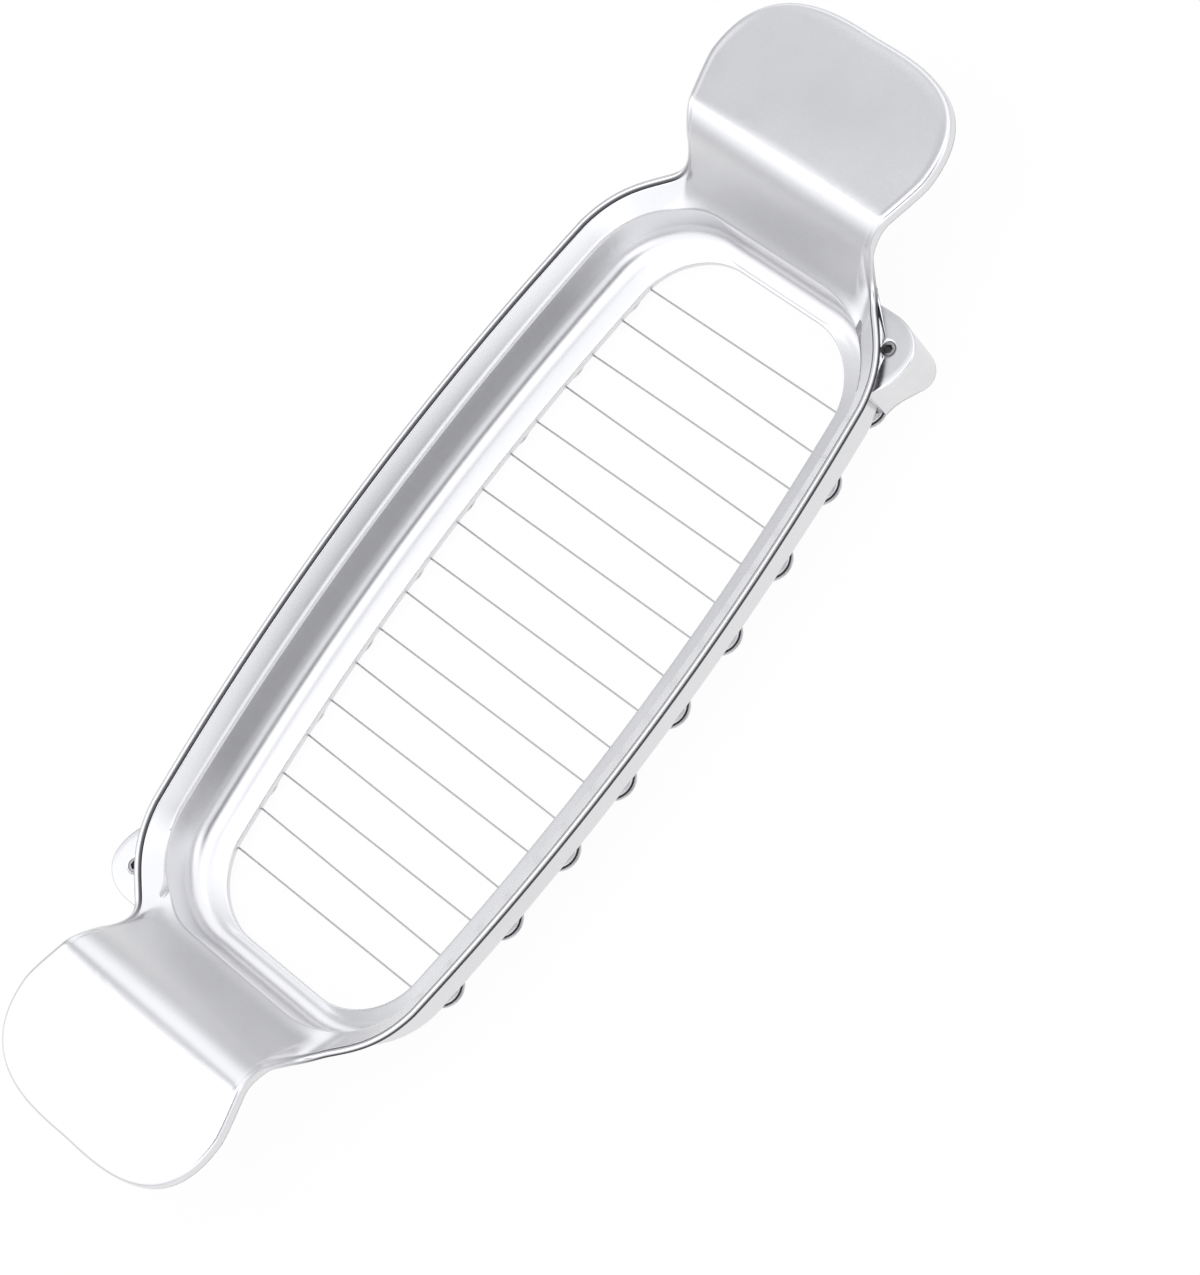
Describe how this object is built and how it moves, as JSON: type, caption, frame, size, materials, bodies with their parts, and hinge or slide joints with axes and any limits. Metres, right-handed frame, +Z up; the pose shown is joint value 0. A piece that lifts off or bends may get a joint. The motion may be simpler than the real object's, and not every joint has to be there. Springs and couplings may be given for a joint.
{
  "type": "wire butter slicer",
  "caption": "Two-handled steel butter slicer: an open lipped tray with parallel cutting wires strung on round studs below it.",
  "frame": {"origin": "centre of the slicer in plan, on the plane of the studs' feet", "axes": "+X along the slicer from handle to handle, +Y across it, +Z up"},
  "size_m": [0.2726, 0.091, 0.0322],
  "materials": {
    "satin_sheet": "satin",
    "wire": "drawn",
    "holder_steel": "satin",
    "spindle_steel": "turned",
    "stud_steel": "turned"
  },
  "bodies": {
    "frame": {"tray": "satin_sheet", "cutting_wire": "wire", "near_corner_holder": "holder_steel", "far_corner_holder": "holder_steel", "near_stud_1": "stud_steel", "near_stud_2": "stud_steel", "near_stud_3": "stud_steel", "near_stud_4": "stud_steel", "near_stud_5": "stud_steel", "near_stud_6": "stud_steel", "near_stud_7": "stud_steel", "near_stud_8": "stud_steel", "near_stud_9": "stud_steel", "far_stud_1": "stud_steel", "far_stud_2": "stud_steel", "far_stud_3": "stud_steel", "far_stud_4": "stud_steel", "far_stud_5": "stud_steel", "far_stud_6": "stud_steel", "far_stud_7": "stud_steel", "far_stud_8": "stud_steel", "far_stud_9": "stud_steel"},
    "near_spindle": {"near_tension_spindle": "spindle_steel"},
    "far_spindle": {"far_tension_spindle": "spindle_steel"}
  },
  "joints": [
    {"name": "near_spindle_turn", "type": "hinge", "parent": "frame", "child": "near_spindle", "pos_m": [0.0872, -0.03591, 0.0012], "axis": [0, 0, 1], "range_deg": [-90, 720]},
    {"name": "far_spindle_turn", "type": "hinge", "parent": "frame", "child": "far_spindle", "pos_m": [-0.0872, 0.03591, 0.0012], "axis": [0, 0, 1], "range_deg": [-90, 720]}
  ]
}
